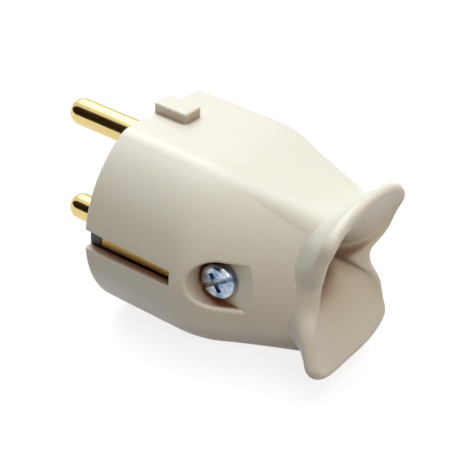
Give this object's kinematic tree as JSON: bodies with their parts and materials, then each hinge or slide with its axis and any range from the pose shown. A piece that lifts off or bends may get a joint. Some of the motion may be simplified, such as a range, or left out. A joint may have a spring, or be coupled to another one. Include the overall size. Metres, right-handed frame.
{
  "type": "earthed power plug",
  "caption": "Rewirable earthed power plug: flatted ivory casing with side earth openings, round brass pins, a casing screw in a pocket and a flared fish-tail cable outlet.",
  "frame": {"origin": "centre of the engagement face, in the plane of the casing rim, midway between the pins", "axes": "+X rearwards along the plug axis to the cable outlet, pins towards -X, +Z along the pin line towards the line pin, -Y the side of the casing screw"},
  "size_m": [0.0594, 0.0374, 0.036],
  "materials": {
    "casing": "satin gloss ivory moulding",
    "carrier": "dark phenolic moulding",
    "brass": "polished brass",
    "strip": "rolled brass strip",
    "zinc": "zinc-plated steel"
  },
  "bodies": {
    "root": {"casing": "casing", "pin_carrier": "carrier", "line_pin": "brass", "neutral_pin": "brass", "line_terminal_screw": "zinc", "neutral_terminal_screw": "zinc", "retaining_plate": "carrier", "retaining_screws": "zinc", "earth_bridge": "strip", "earth_terminal_screw": "zinc", "earth_terminal_washer": "zinc", "earth_terminal_nut": "zinc", "rear_block": "carrier", "rear_block_screws": "zinc", "cord_clamp": "carrier", "cord_clamp_screws": "zinc", "casing_screw": "zinc", "casing_nut": "zinc"}
  },
  "joints": []
}
